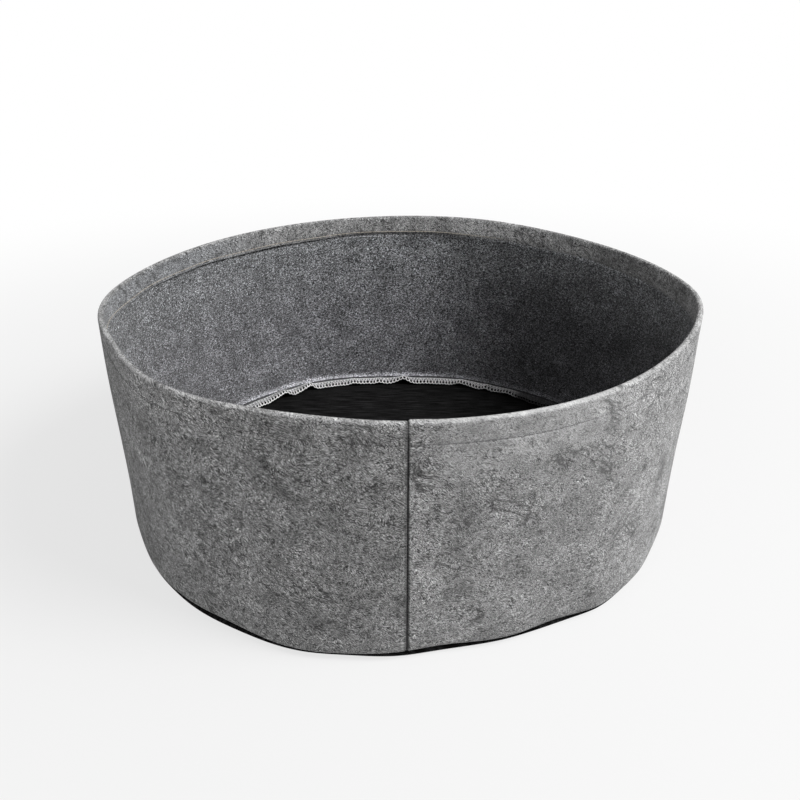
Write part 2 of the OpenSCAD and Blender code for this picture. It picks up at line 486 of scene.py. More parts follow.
def build_wall():
    face, back = felt_grid()
    n_c = len(COLS)
    count = ROW_N * n_c
    verts = np.concatenate([face.reshape(-1, 3), back.reshape(-1, 3)])
    keep = np.zeros((ROW_N - 1, n_c - 1), bool)
    keep[:, JR:JL] = True
    keep[I_LO:I_HI, :] = True
    faces = []
    idx = np.arange(count).reshape(ROW_N, n_c)
    ii, jj = np.nonzero(keep)
    a, b = idx[ii, jj], idx[ii, jj + 1]
    c, d = idx[ii + 1, jj + 1], idx[ii + 1, jj]
    faces += np.stack([a, b, c, d], 1).tolist()
    faces += np.stack([d + count, c + count, b + count, a + count], 1).tolist()
    pad = np.zeros((ROW_N + 1, n_c + 1), bool)
    pad[1:-1, 1:-1] = keep
    for i in range(ROW_N - 1):
        for j in range(n_c - 1):
            if not keep[i, j]:
                continue
            q = [(idx[i, j], idx[i, j + 1], pad[i, j + 1]), (idx[i, j + 1], idx[i + 1, j + 1], pad[i + 1, j + 2]),
                 (idx[i + 1, j + 1], idx[i + 1, j], pad[i + 2, j + 1]), (idx[i + 1, j], idx[i, j], pad[i + 1, j])]
            for u, v, nb_ in q:
                if not nb_:
                    faces.append([v, u, u + count, v + count])
    at = np.zeros((2, ROW_N, n_c, 3))
    s = (wf + wb) / 2
    first = np.array([p == "a1" for p in part])
    last = np.array([p == "a2" for p in part])
    s = np.where(first, -s - 2, s)
    at[:, :, :, 0] = (s * MM)[None, None, :]
    at[:, :, :, 1] = (RV * MM)[None, :, None]
    at[1, :, :, 2] = 1.0
    used = sorted({v for f in faces for v in f})
    remap = -np.ones(len(verts), int)
    remap[used] = np.arange(len(used))
    faces = [[int(remap[v]) for v in f] for f in faces]
    ob = new_mesh("felt_wall", verts[used], faces, {"cloth": at.reshape(-1, 3)[used]}, sharp=48)
    return ob


felt_wall = piece(build_wall(), "side_wall", "felt")


# ---------------------------------------------------------------- base fabric
def build_base():
    cols = 540
    t = np.linspace(0, 2 * PI, cols, endpoint=False)
    out = base_r(t)
    edge = out + fold_edge(t)
    high = sole(t) - 0.1
    rad = high / 2
    rings = []

    def ring(r, z, ux=0.0):
        rings.append((r, z))

    wob = 0.25 * np.sin(3 * t + 1) + 0.2 * np.sin(8 * t)
    # underside, from near the centre outwards
    for f in (0.22, 0.45, 0.7, 0.9):
        rings.append((edge * f, 0 * t))
    rings.append((edge - rad * 1.0, 0 * t))
    for u in (-70, -45, -20, 5, 30, 55, 80):
        a = math.radians(u)
        rings.append((edge - rad + rad * math.cos(a), rad + rad * math.sin(a)))
    al = lift(t)
    inner_top = out - PIVOT

    def flap(dist, below):
        d = dist * (1 + trim(t) / ALLOW)
        k = al * sm(np.maximum(d, 0) / 3.0)
        r = inner_top - d * np.cos(k) + below * -np.sin(k)
        z = high + d * np.sin(k) - below * np.cos(k)
        return r, z

    full = CORNER + ALLOW - PIVOT
    dists = [0.0, 1.2, 2.6, 4.4, 6.6, 8.8, 11.0]
    for d in dists + [full + 0.12]:
        rings.append(flap(np.full_like(t, d), 0.04))
    curl = 1.55 + 0.25 * np.sin(31 * t) + 0.2 * np.sin(53 * t + 1)
    for d, up in ((full + 0.14, curl * 0.6), (full + 0.16, curl), (full + 0.5, curl + 0.12), (full + 0.82, curl - 0.1),
                  (full + 0.9, curl * 0.4)):
        rings.append(flap(np.full_like(t, d), -up))
    for d in [full + 0.75] + dists[::-1]:
        rings.append(flap(np.full_like(t, d), BASE_T))
    inner_r = np.maximum(rad - BASE_T, 0.35)
    for u in (70, 35, 0, -35, -70):
        a = math.radians(u)
        rings.append((edge - rad + inner_r * math.cos(a), rad + inner_r * math.sin(a)))
    # upper side of the disc, inwards
    fr = np.array([0.97, 0.945, 0.92, 0.89, 0.86, 0.82, 0.78, 0.74, 0.70, 0.65, 0.60, 0.55, 0.50, 0.45, 0.40, 0.35, 0.30, 0.25, 0.2])
    for f in fr:
        r = edge * f
        x, y = r * np.cos(t), r * np.sin(t)
        k = sm((0.93 - f) / 0.1)
        rip = (0.55 * np.sin(y / 11.0 + 0.9 * np.sin(x / 70.0)) * np.sin(x / 95.0 + 1.0)
               + 0.8 * np.sin(x / 60 + y / 43.0 + 1.3) * np.sin(y / 71.0 - 0.4) + 0.5 * np.sin(x / 33 - y / 29.0))
        rings.append((r, BASE_T + k * (1.3 + rip)))
    nr = len(rings)
    R = np.array([r[0] for r in rings])
    Z = np.array([r[1] for r in rings])
    v = np.stack([R * np.cos(t), R * np.sin(t), Z], -1).reshape(-1, 3) * MM
    at = np.zeros((nr, cols, 3))
    at[:, :, 0] = R * np.cos(t) * MM
    at[:, :, 1] = R * np.sin(t) * MM
    at[:, :, 2] = np.arange(nr)[:, None] * 0.0
    i = np.arange(nr - 1)[:, None]
    j = np.arange(cols)[None, :]
    a = i * cols + j
    b = i * cols + (j + 1) % cols
    faces = np.stack([a, b, b + cols, a + cols], -1).reshape(-1, 4)[:, ::-1].tolist()
    verts = v.tolist()
    attr = at.reshape(-1, 3).tolist()

    def cap(start, radius, zfun, flip):
        """Closes a ring inwards with fewer and fewer columns."""
        n, first, r = cols, start, radius
        while n > 20:
            m = n // 3
            tt = np.arange(m) * 2 * PI / m
            r = r * 0.55
            rr = np.full(m, r)
            base_i = len(verts)
            x, y = rr * np.cos(tt), rr * np.sin(tt)
            for p, q, s_ in zip(x, y, zfun(x, y)):
                verts.append([p * MM, q * MM, s_ * MM])
                attr.append([p * MM, q * MM, 0.0])
            for k in range(m):
                o0, o1 = first + 3 * k, first + 3 * k + 1
                o2, o3 = first + 3 * k + 2, first + (3 * k + 3) % n
                p0, p1 = base_i + k, base_i + (k + 1) % m
                tri = [[o0, o1, p0], [o1, o2, p1, p0], [o2, o3, p1]]
                faces.extend([f[::-1] if flip else f for f in tri])
            n, first = m, base_i
        c = list(range(first, first + n))
        faces.append(c[::-1] if flip else c)

    cap(0, edge.mean() * 0.22, lambda x, y: 0 * x, True)
    top = lambda x, y: BASE_T + 1.3 + (0.55 * np.sin(y / 11.0 + 0.9 * np.sin(x / 70.0)) * np.sin(x / 95.0 + 1.0)
                                       + 0.8 * np.sin(x / 60 + y / 43.0 + 1.3) * np.sin(y / 71.0 - 0.4)
                                       + 0.5 * np.sin(x / 33 - y / 29.0))
    cap((nr - 1) * cols, edge.mean() * 0.2, top, False)
    return new_mesh("base_fabric", verts, faces, {"cloth": attr}, sharp=50)


base_fabric = piece(build_base(), "base_panel", "base_fabric")


# ---------------------------------------------------------------- stitches
def row_point(t, a, b, na, nb, zone, d):
    p, n = place(np.asarray(t, float), a, b, na, nb, zone, np.asarray(d, float))
    return p, n


def lockstitch(name, a, b, na, nb, zone, pitch, gauge, node, slot, shift=0.0, start=6.0):
    """One thread of a lockstitch row: it lies on the face, and dives to the middle at every hole."""
    n = int((FULL - 2 * start) / pitch)
    w = []
    d = []
    lat = []
    for k in range(n):
        s0 = start + k * pitch + shift
        jit = rng.normal(0, 0.12, 4)
        w += [s0, s0 + 0.05 * pitch, s0 + 0.16 * pitch, s0 + 0.5 * pitch + jit[0] * 0.3, s0 + 0.84 * pitch, s0 + 0.95 * pitch]
        d += [2.2, 0.75, 0.14, -0.10 + 0.05 * jit[1], 0.14, 0.75]
        lat += [0, 0, 0.1 * jit[2], 0.15 * jit[3], 0.1 * jit[2], 0]
    w, d, lat = np.array(w), np.array(d), np.array(lat)
    pts, nor = [], []
    ang = theta(w)
    if zone == "hem":
        d = d + 0.5 * sm((62.0 - np.abs(wrap(ang, 10.0))) / 16.0)
    p, nrm = place(ang, a, b, na, nb, zone, d + 0.45)
    p[:, 2] += lat * MM
    v, f, at = tube(spline(p, 2), gauge * MM, np.repeat(-nrm, 2, 0)[: 2 * len(p) - 1], sides=6)
    ob = new_mesh(name, v, f, {"thread": at}, sharp=0)
    return piece(ob, node, slot)


hem_i = next(i for i, r in enumerate(ROWS) if r[2] == "hem" and abs(r[1] - HEM_Z) < 1e-6)
wall_i = next(i for i, r in enumerate(ROWS) if r[2] == "wall" and abs(r[1] - HEM_Z) < 1e-6)
t_hem_out = lockstitch("stitch_hem_outside", 0.0, HEM_Z, RN[wall_i][0], RN[wall_i][1], "wall", 5.2, 0.30,
                       "hem_needle_thread", "grey_thread")
t_hem_in = lockstitch("stitch_hem_inside", -2 * FOLD, HEM_Z, RN[hem_i][0], RN[hem_i][1], "hem", 5.2, 0.42,
                      "hem_bobbin_thread", "cream_thread", shift=0.0)


def along_seam(b, w, d):
    """Points of the side seam's cross-section (w, d) at heights b, with the way to the back."""
    out = np.zeros((len(b), 3))
    nrm = np.zeros((len(b), 3))
    for k in range(len(b)):
        bb = float(b[k])
        p, n = place(theta(np.array([w[k]])), 0.0, bb, -1.0, 0.0, "wall", np.array([d[k]]))
        out[k], nrm[k] = p[0], n[0]
    return out, nrm


B0, B1 = 17.0, TOP - HEM - 1.0


def squeeze(b):
    return 1 - 0.25 * sm((b - (TOP - HEM - 6)) / 6)


def side_stitches():
    # needle thread: rungs across the valley
    b, w, d = [], [], []
    z = 8.0
    k = 0
    while z < TOP - 5:
        s = 1 if k % 2 else -1
        for fw, fd, fz in ((s * 0.95, 1.7, 0), (s * 0.7, 0.95, 0.25), (0, 0.72, 0.45), (-s * 0.7, 0.95, 0.65), (-s * 0.95, 1.7, 0.9)):
            w.append(fw)
            d.append(fd)
            b.append(z + fz)
        z += 3.5
        k += 1
    p, n = along_seam(b, w, d)
    v, f, at = tube(spline(p, 2), 0.34 * MM, np.repeat(-n, 2, 0)[: 2 * len(p) - 1], sides=6)
    # painted shade: the rungs' thread is painted 10% darker in the seam's valley
    at[:, 2] = -0.1
    piece(new_mesh("stitch_side_rungs", v, f, {"thread": at}, sharp=0), "side_chain_needle_thread", "grey_thread")

    # looper thread: chain along the back of the pressed allowance
    def top_d(w_):
        return ease(w_, 2 * RHO, 2 * FELT + 0.3) + 0.15 + ease(w_, TH0, FELT)

    pitch = 4.6
    n_st = int((B1 - B0) / pitch)
    b, w, d = [], [], []
    for k in range(n_st):
        z = B0 + k * pitch
        for fz, fw, lift_ in ((0.0, 0.0, 0.12), (0.45, 0.42, 0.3), (0.95, 0.36, 0.34), (1.18, 0.0, 0.42), (0.95, -0.36, 0.34), (0.5, -0.42, 0.3), (0.75, -0.1, 0.12)):
            b.append(z + fz * pitch)
            w.append(3.4 + fw)
            d.append((top_d(3.4)) * squeeze(z) + lift_)
    p, n = along_seam(b, w, d)
    v, f, at = tube(spline(p, 2), 0.27 * MM, np.repeat(n, 2, 0)[: 2 * len(p) - 1], sides=6)
    piece(new_mesh("stitch_side_chain", v, f, {"thread": at}, sharp=0), "side_chain_looper_thread", "white_thread")

    # overlock needle line
    b, w, d = [], [], []
    for k in range(n_st):
        z = B0 + k * pitch
        for fz, dd in ((0.0, -1.2), (0.06, 0.0), (0.2, 0.3), (0.5, 0.36), (0.8, 0.3), (0.94, 0.0)):
            b.append(z + fz * pitch)
            w.append(8.4)
            d.append(top_d(8.4) * squeeze(z) + dd)
    p, n = along_seam(b, w, d)
    v, f, at = tube(spline(p, 2), 0.25 * MM, np.repeat(n, 2, 0)[: 2 * len(p) - 1], sides=6)
    piece(new_mesh("stitch_side_overlock_needle", v, f, {"thread": at}, sharp=0), "side_overlock_needle_thread", "white_thread")

    # upper looper: over the second layer to the cut edge
    b, w, d = [], [], []
    for k in range(n_st):
        z = B0 + k * pitch
        q = squeeze(z)
        t_ = top_d(14.0) * q
        for fz, fw, dd in ((0.0, 8.4, top_d(8.4) * q + 0.5), (0.18, 10.2, t_ + 0.42), (0.34, 12.6, t_ + 0.42), (0.42, 14.1, t_ + 0.12), (0.46, 14.5, t_ - 1.4),
                           (0.5, 14.5, t_ - 2.6), (0.56, 14.5, t_ - 1.4), (0.62, 14.1, t_ + 0.12), (0.7, 12.6, t_ + 0.42), (0.86, 10.2, t_ + 0.42)):
            b.append(z + fz * pitch)
            w.append(fw)
            d.append(dd)
    p, n = along_seam(b, w, d)
    v, f, at = tube(spline(p, 2), 0.32 * MM, np.repeat(n, 2, 0)[: 2 * len(p) - 1], sides=6)
    piece(new_mesh("stitch_side_overlock_upper", v, f, {"thread": at}, sharp=0), "side_overlock_upper_looper_thread", "white_thread")

    # lower looper: along the cut edge and under the first layer
    b, w, d = [], [], []
    for k in range(n_st):
        z = B0 + (k + 0.5) * pitch
        q = squeeze(z)
        lo_ = (FELT + 0.3) * q
        mid = (2 * FELT + 0.5) * q
        for fz, fw, dd in ((0.0, 14.55, mid), (0.12, 14.5, lo_ + 0.9), (0.3, 14.3, lo_ - 0.15), (0.5, 13.2, lo_ - 0.2), (0.7, 14.3, lo_ - 0.15), (0.88, 14.5, lo_ + 0.9)):
            b.append(z + fz * pitch)
            w.append(fw)
            d.append(dd)
    p, n = along_seam(b, w, d)
    v, f, at = tube(spline(p, 2), 0.32 * MM, np.repeat(n, 2, 0)[: 2 * len(p) - 1], sides=6)
    piece(new_mesh("stitch_side_overlock_lower", v, f, {"thread": at}, sharp=0), "side_overlock_lower_looper_thread", "white_thread")


side_stitches()


def flap_point(t, dist, up):
    """A point of the base allowance: dist inwards from the crease, up above the felt's lower side."""
    d = dist * (1 + trim(t) / ALLOW)
    k = lift(t) * sm(np.maximum(d, 0) / 3.0)
    a = -PIVOT - d * np.cos(k) + up * np.sin(k)
    h = sole(t) + d * np.sin(k) + up * np.cos(k)
    x, y, nx, ny = curve(t, 0 * t + 6.0)
    p = np.stack([x + nx * a, y + ny * a, h], -1) * MM
    n = np.stack([nx * np.sin(k), ny * np.sin(k), np.cos(k)], -1)
    return p, n


THREAD_SHADE_ANGLE = 55.0                                     # painted shade: the overlock strip's thread is painted dark from this angle on, towards the right


def base_stitches():
    pitch = 4.8
    turn = 2 * PI * RIM * 0.955
    n_st = int(turn / pitch)
    step = 2 * PI / n_st
    full = CORNER + ALLOW - PIVOT

    def run(name, pattern, gauge, node, slot, sides=6, per=2, jitter=0.05):
        t, dist, up = [], [], []
        for k in range(n_st):
            j = rng.normal(0, jitter, 3)
            for ft, fd, fu in pattern:
                t.append((k + ft + j[0]) * step)
                dist.append(fd + j[1] * 3)
                up.append(fu)
        t, dist, up = np.array(t), np.array(dist), np.array(up)
        p, n = flap_point(t, dist, up)
        v, f, at = tube(spline(p, per, closed=True), gauge * MM, np.repeat(n, per, 0), sides=sides, closed=True)
        where = wrap(np.arctan2(v[:, 1], v[:, 0]), 0.0)
        if slot == "white_thread":
            # painted shade: the white overlock threads are painted dark from 8 degrees up to the shade angle set above,
            # and a little darker for 12 degrees beyond it
            at[:, 2] = -0.93 * sm((THREAD_SHADE_ANGLE - where) / 3.5) * sm((where - 8.0) / 12.0) - 0.35 * sm((THREAD_SHADE_ANGLE + 12.0 - where) / 12.0) * sm((where - THREAD_SHADE_ANGLE + 2.0) / 3.0)
        return piece(new_mesh(name, v, f, {"thread": at}, sharp=0), node, slot)

    up0 = FELT
    run("stitch_base_chain_needle", ((0.0, 0.0, up0 - 1.6), (0.04, 0.0, up0 - 0.7), (0.13, 0.0, up0 - 0.1), (0.5, 0.0, up0 + 0.02), (0.87, 0.0, up0 - 0.1), (0.96, 0.0, up0 - 0.7)),
        0.55, "base_chain_needle_thread", "grey_thread", jitter=0.02)
    run("stitch_base_chain_looper", ((0.0, 0.0, -BASE_T - 0.05), (0.3, 0.4, -BASE_T - 0.25), (0.8, 0.4, -BASE_T - 0.3), (1.1, 0.0, -BASE_T - 0.3), (0.8, -0.4, -BASE_T - 0.3), (0.5, -0.4, -BASE_T - 0.25)),
        0.2, "base_chain_looper_thread", "white_thread", sides=5, per=1, jitter=0.0)
    run("stitch_base_overlock_needle", ((0.0, full - 8.0, up0 - 1.5), (0.06, full - 8.0, up0 - 0.1), (0.2, full - 8.0, up0 + 0.22), (0.5, full - 8.0, up0 + 0.28), (0.8, full - 8.0, up0 + 0.22), (0.94, full - 8.0, up0 - 0.1)),
        0.30, "base_overlock_needle_thread", "white_thread", jitter=0.02)
    e = full + 1.15
    run("stitch_base_overlock_upper", ((0.0, full - 8.0, up0 + 0.5), (0.14, full - 5.0, up0 + 0.3), (0.26, full - 2.2, up0 - 0.1), (0.34, full + 0.1, up0 - 0.35), (0.40, e, up0 - 1.3),
                                       (0.45, e + 0.1, up0 - 2.6), (0.5, e + 0.15, up0 - 3.5), (0.56, e + 0.1, up0 - 2.6), (0.62, e, up0 - 1.3), (0.68, full + 0.1, up0 - 0.35),
                                       (0.76, full - 2.2, up0 - 0.1), (0.88, full - 5.0, up0 + 0.3)),
        0.40, "base_overlock_upper_looper_thread", "white_thread")
    run("stitch_base_overlock_lower", ((0.5, e + 0.25, -0.35), (0.64, e + 0.38, -0.75), (0.8, e + 0.3, -1.25), (1.0, e + 0.38, -1.5), (1.2, e + 0.3, -1.25), (1.36, e + 0.38, -0.75), (1.5, e + 0.25, -0.35),
                                       (1.3, e + 0.1, -1.3), (1.1, full - 0.2, -BASE_T - 0.45), (1.0, full - 1.8, -BASE_T - 0.4), (0.9, full - 0.2, -BASE_T - 0.45), (1.2, e + 0.15, -2.0)),
        0.56, "base_overlock_lower_looper_thread", "white_thread")


base_stitches()


# ---------------------------------------------------------------- materials
class Graph:
    def __init__(self, name):
        self.mat = bpy.data.materials.new(name)
        self.mat.use_nodes = True
        self.tree = self.mat.node_tree
        self.tree.nodes.clear()
        self.out = self.tree.nodes.new("ShaderNodeOutputMaterial")
        self.bsdf = self.tree.nodes.new("ShaderNodeBsdfPrincipled")
        self.link(self.bsdf.outputs[0], self.out.inputs[0])

    def link(self, a, b):
        self.tree.links.new(a, b)

    def feed(self, socket, value):
        if hasattr(value, "is_linked"):
            self.link(value, socket)
        elif isinstance(value, (tuple, list)):
            if len(value) == 3 and socket.type == "RGBA":
                value = (*value, 1.0)
            socket.default_value = value
        else:
            socket.default_value = value

    def node(self, kind):
        return self.tree.nodes.new(kind)

    def math(self, op, a, b=0.0, c=None, clamp=False):
        n = self.node("ShaderNodeMath")
        n.operation = op
        n.use_clamp = clamp
        self.feed(n.inputs[0], a)
        self.feed(n.inputs[1], b)
        if c is not None:
            self.feed(n.inputs[2], c)
        return n.outputs[0]

    def vec(self, op, a, b=(0, 0, 0), scale=None):
        n = self.node("ShaderNodeVectorMath")
        n.operation = op
        self.feed(n.inputs[0], a)
        if scale is not None:
            self.feed(n.inputs["Scale"], scale)
        else:
            self.feed(n.inputs[1], b)
        return n.outputs["Value"] if op in ("LENGTH", "DOT_PRODUCT", "DISTANCE") else n.outputs[0]

    def attr(self, name):
        n = self.node("ShaderNodeAttribute")
        n.attribute_name = name
        return n

    def split(self, v):
        n = self.node("ShaderNodeSeparateXYZ")
        self.feed(n.inputs[0], v)
        return n.outputs

    def join(self, x, y, z):
        n = self.node("ShaderNodeCombineXYZ")
        for k, v in enumerate((x, y, z)):
            self.feed(n.inputs[k], v)
        return n.outputs[0]

    def turn(self, v, angle, scale, shift=(0, 0, 0)):
        n = self.node("ShaderNodeMapping")
        n.vector_type = "POINT"
        r = self.node("ShaderNodeVectorRotate")
        r.rotation_type = "Z_AXIS"
        self.feed(r.inputs["Vector"], v)
        r.inputs["Angle"].default_value = math.radians(angle)
        self.feed(n.inputs["Vector"], r.outputs[0])
        n.inputs["Scale"].default_value = scale
        n.inputs["Location"].default_value = shift
        return n.outputs[0]

    def noise(self, v, scale=1.0, detail=2.0, rough=0.5, color=False, dist=0.0):
        n = self.node("ShaderNodeTexNoise")
        self.feed(n.inputs["Vector"], v)
        n.inputs["Scale"].default_value = scale
        n.inputs["Detail"].default_value = detail
        n.inputs["Roughness"].default_value = rough
        n.inputs["Distortion"].default_value = dist
        return n.outputs[1] if color else n.outputs[0]

    def voronoi(self, v, scale=1.0, feature="F1", out="Distance"):
        n = self.node("ShaderNodeTexVoronoi")
        n.feature = feature
        self.feed(n.inputs["Vector"], v)
        n.inputs["Scale"].default_value = scale
        return n.outputs[out]

    def remap(self, v, a, b, c=0.0, d=1.0, clamp=True, smooth=False):
        n = self.node("ShaderNodeMapRange")
        n.clamp = clamp
        n.interpolation_type = "SMOOTHSTEP" if smooth else "LINEAR"
        self.feed(n.inputs[0], v)
        for k, x in zip((1, 2, 3, 4), (a, b, c, d)):
            self.feed(n.inputs[k], x)
        return n.outputs[0]

    def mix(self, f, a, b):
        n = self.node("ShaderNodeMix")
        n.data_type = "RGBA"
        self.feed(n.inputs[0], f)
        self.feed(n.inputs[6], a)
        self.feed(n.inputs[7], b)
        return n.outputs[2]

    def fmix(self, f, a, b):
        n = self.node("ShaderNodeMix")
        n.data_type = "FLOAT"
        self.feed(n.inputs[0], f)
        self.feed(n.inputs[2], a)
        self.feed(n.inputs[3], b)
        return n.outputs[0]

    def tint(self, value, color):
        """A grey value times a colour."""
        return self.vec("MULTIPLY", self.join(value, value, value), color)

    def bump(self, h, dist, strength=1.0, normal=None):
        n = self.node("ShaderNodeBump")
        self.feed(n.inputs["Height"], h)
        n.inputs["Distance"].default_value = dist
        n.inputs["Strength"].default_value = strength
        if normal is not None:
            self.link(normal, n.inputs["Normal"])
        return n.outputs[0]

    def set(self, **kw):
        for k, v in kw.items():
            self.feed(self.bsdf.inputs[k.replace("_", " ")], v)


FELT_GAIN, FELT_FACE, FELT_BACK = 4.0, 0.246, 0.225
HEM_V = RV[max(i for i, r in enumerate(ROWS) if r[2] == "wall" and r[1] <= TOP - HEM)]
CREST = RV[next(i for i, r in enumerate(ROWS) if r[2] == "fold") + 5]


def cloth_x(deg):
    """Distance along the cloth, in mm to the right of the side seam, of an angle round the bag."""
    return (deg - SEAM) % 360.0 / 360.0 * FULL


def felt_material():
    g = Graph("heather_felt")
    at = g.attr("cloth")
    p = g.vec("SCALE", at.outputs["Vector"], scale=1000.0)      # millimetres on the cloth
    x, y, side = g.split(p)
    side = g.math("MULTIPLY", side, 0.001)
    q = g.join(x, y, g.math("MULTIPLY", side, 500.0))
    warp = g.vec("SCALE", g.vec("SUBTRACT", g.noise(q, 0.04, 2.0, 0.55, color=True), (0.5, 0.5, 0.5)), scale=16.0)
    w = g.vec("ADD", q, warp)
    curl = g.vec("SUBTRACT", g.noise(q, 0.13, 1.0, 0.5, color=True), (0.5, 0.5, 0.5))
    w2 = g.vec("ADD", q, g.vec("SCALE", curl, scale=5.5))
    w3 = g.vec("ADD", w, g.vec("SCALE", curl, scale=2.2))

    def strands(src, ang, ln, wd, width, shift):
        v = g.turn(src, ang, (1 / ln, 1 / wd, 0.01), (shift, shift * 0.7, shift * 0.3))
        r = g.math("ABSOLUTE", g.math("SUBTRACT", g.noise(v, 1.0, 1.0, 0.5), 0.5))
        return g.remap(r, 0.0, width, 1.0, 0.0, smooth=True)

    def gate(scale, lo_, hi_, shift):
        return g.remap(g.noise(g.vec("ADD", q, (shift, shift * 1.7, 0)), scale, 1.0, 0.5), lo_, hi_, smooth=True)

    tuft = g.noise(w2, 0.075, 2.5, 0.62)
    cloud = g.noise(g.vec("ADD", w, (7, 90, 0)), 0.03, 3.0, 0.6)
    in_left = g.math("MULTIPLY", g.remap(x, cloth_x(140.0), cloth_x(175.0), smooth=True), side)
    c = g.remap(tuft, 0.44, 0.70, smooth=True)
    fine = g.math("ADD", g.noise(g.turn(w2, 14, (1 / 2.8, 1 / 0.86, 0.1), (3, 7, 0)), 1.0, 1.5, 0.6),
                  g.noise(g.turn(w2, -52, (1 / 2.6, 1 / 0.86, 0.1), (31, 5, 0)), 1.0, 1.5, 0.6))
    fine = g.math("SUBTRACT", fine, 1.0)
    straw = g.math("ADD", g.noise(g.turn(w3, 28, (1 / 2.7, 1 / 0.56, 0.1), (3, 7, 0)), 1.0, 1.0, 0.6),
                   g.noise(g.turn(w3, 60, (1 / 2.5, 1 / 0.56, 0.1), (31, 5, 0)), 1.0, 1.0, 0.6))
    straw = g.math("MULTIPLY_ADD", g.noise(g.turn(w3, -24, (1 / 2.3, 1 / 0.56, 0.1), (57, 9, 0)), 1.0, 1.0, 0.6), 0.8, straw)
    straw = g.math("SUBTRACT", straw, 1.4)
    grain = g.math("SUBTRACT", g.noise(g.vec("ADD", q, (40, 12, 3)), 0.5, 2.0, 0.7), 0.5)
    curl_a = strands(w2, 0, 2.9, 1.6, 0.12, 11)
    curl_b = strands(w, 52, 3.4, 1.7, 0.12, 47)
    long_a = g.math("MULTIPLY", strands(w, 8, 9.5, 1.6, 0.075, 90), gate(0.16, 0.42, 0.64, 5))
    long_b = g.math("MULTIPLY", strands(w, 42, 8.5, 1.6, 0.075, 140), gate(0.15, 0.43, 0.64, 33))
    pale_a = strands(w2, -18, 5.0, 1.6, 0.13, 201)
    pale_b = strands(w, 66, 4.2, 1.6, 0.13, 260)
    short = g.math("MULTIPLY_ADD", curl_a, -0.17, g.math("MULTIPLY", curl_b, -0.15))
    long_ = g.math("MULTIPLY_ADD", long_a, -0.40, g.math("MULTIPLY", long_b, -0.36))
    pale = g.math("MULTIPLY_ADD", pale_a, 0.085, g.math("MULTIPLY", pale_b, 0.075))
    face = g.math("MULTIPLY", g.math("MULTIPLY_ADD", short, 0.32, g.math("MULTIPLY", long_, 1.1)), g.math("MULTIPLY_ADD", c, 0.3, 0.85))
    face = g.math("ADD", g.math("MULTIPLY_ADD", pale, 0.6, face), g.math("MULTIPLY", straw, 1.95))
    face = g.math("SUBTRACT", face, g.math("MULTIPLY", c, 0.06))
    back = g.math("ADD", g.math("MULTIPLY", short, 1.25), g.math("MULTIPLY_ADD", long_, 0.45, g.math("MULTIPLY", pale, 0.35)))
    back = g.math("ADD", back, g.math("MULTIPLY_ADD", fine, 1.45, g.math("MULTIPLY", grain, 0.8)))
    back = g.math("SUBTRACT", back, g.math("MULTIPLY", c, 0.06))
    s_all = g.fmix(side, g.math("ADD", face, 0.01), g.math("MULTIPLY_ADD", back, 1.6, 0.05))
    # single fibres never get much paler than the felt as a whole
    s_all = g.math("SUBTRACT", s_all, g.math("MULTIPLY", g.math("MAXIMUM", g.math("ADD", s_all, 0.03), 0.0), 0.62))
    # to the right of the side seam the felt is calmer, and paler near the rim; along the rim's crest it is smoother and
    # painted paler as a painted highlight; the hem inside is a little darker, and painted lighter on the right as
    # painted light
    right_of = g.math("MULTIPLY", g.remap(x, 4.0, 40.0, smooth=True), g.remap(x, 150.0, 240.0, 1.0, 0.0, smooth=True))
    right_of = g.math("MULTIPLY", right_of, g.math("SUBTRACT", 1.0, side))
    calm = g.math("MULTIPLY", right_of, g.remap(y, CREST - 75.0, CREST - 25.0, smooth=True))
    left_of = g.math("MULTIPLY", g.remap(x, 1400.0, 1500.0, smooth=True), g.remap(x, 1700.0, 1800.0, 1.0, 0.0, smooth=True))
    s_all = g.math("MULTIPLY", s_all, g.math("ADD", g.math("MULTIPLY_ADD", right_of, -0.18, 1.0), g.math("MULTIPLY_ADD", calm, -0.42, g.math("MULTIPLY", left_of, 0.14))))
    s_all = g.math("MULTIPLY", s_all, g.math("MULTIPLY_ADD", in_left, 0.2, 1.0))
    # painted highlight band along the rim's crest; here the felt is also smoother
    crest_highlight = g.math("MULTIPLY", g.remap(y, CREST - 5.5, CREST - 3.0, smooth=True), g.remap(y, CREST - 1.0, CREST + 1.5, 1.0, 0.0, smooth=True))
    s_all = g.math("MULTIPLY", s_all, g.math("MULTIPLY_ADD", crest_highlight, -0.45, 1.0))
    val = g.math("MULTIPLY", g.math("EXPONENT", g.math("MULTIPLY", s_all, FELT_GAIN)), g.fmix(side, FELT_FACE, FELT_BACK))
    turned = g.math("MULTIPLY", g.remap(y, CREST + 2.0, CREST + 6.0, smooth=True), g.math("SUBTRACT", 1.0, side))
    # painted light: on the right the hem band inside is painted about 59% lighter; elsewhere it is 13% darker
    hem_right_painted_light = g.math("MULTIPLY", g.remap(x, cloth_x(66.0), cloth_x(80.0), 1.0, 0.0, smooth=True), g.remap(x, cloth_x(30.0), cloth_x(45.0), smooth=True))
    val = g.math("MULTIPLY", val, g.math("ADD", 1.0, g.math("MULTIPLY", turned, g.math("MULTIPLY_ADD", hem_right_painted_light, 0.72, -0.13))))
    # painted light: inside, the wall is painted up to 13% lighter towards the rim
    upper = g.math("MULTIPLY", g.remap(y, CREST - 150.0, CREST - 20.0, smooth=True), side)
    val = g.math("MULTIPLY", val, g.math("MULTIPLY_ADD", upper, 0.13, 1.0))
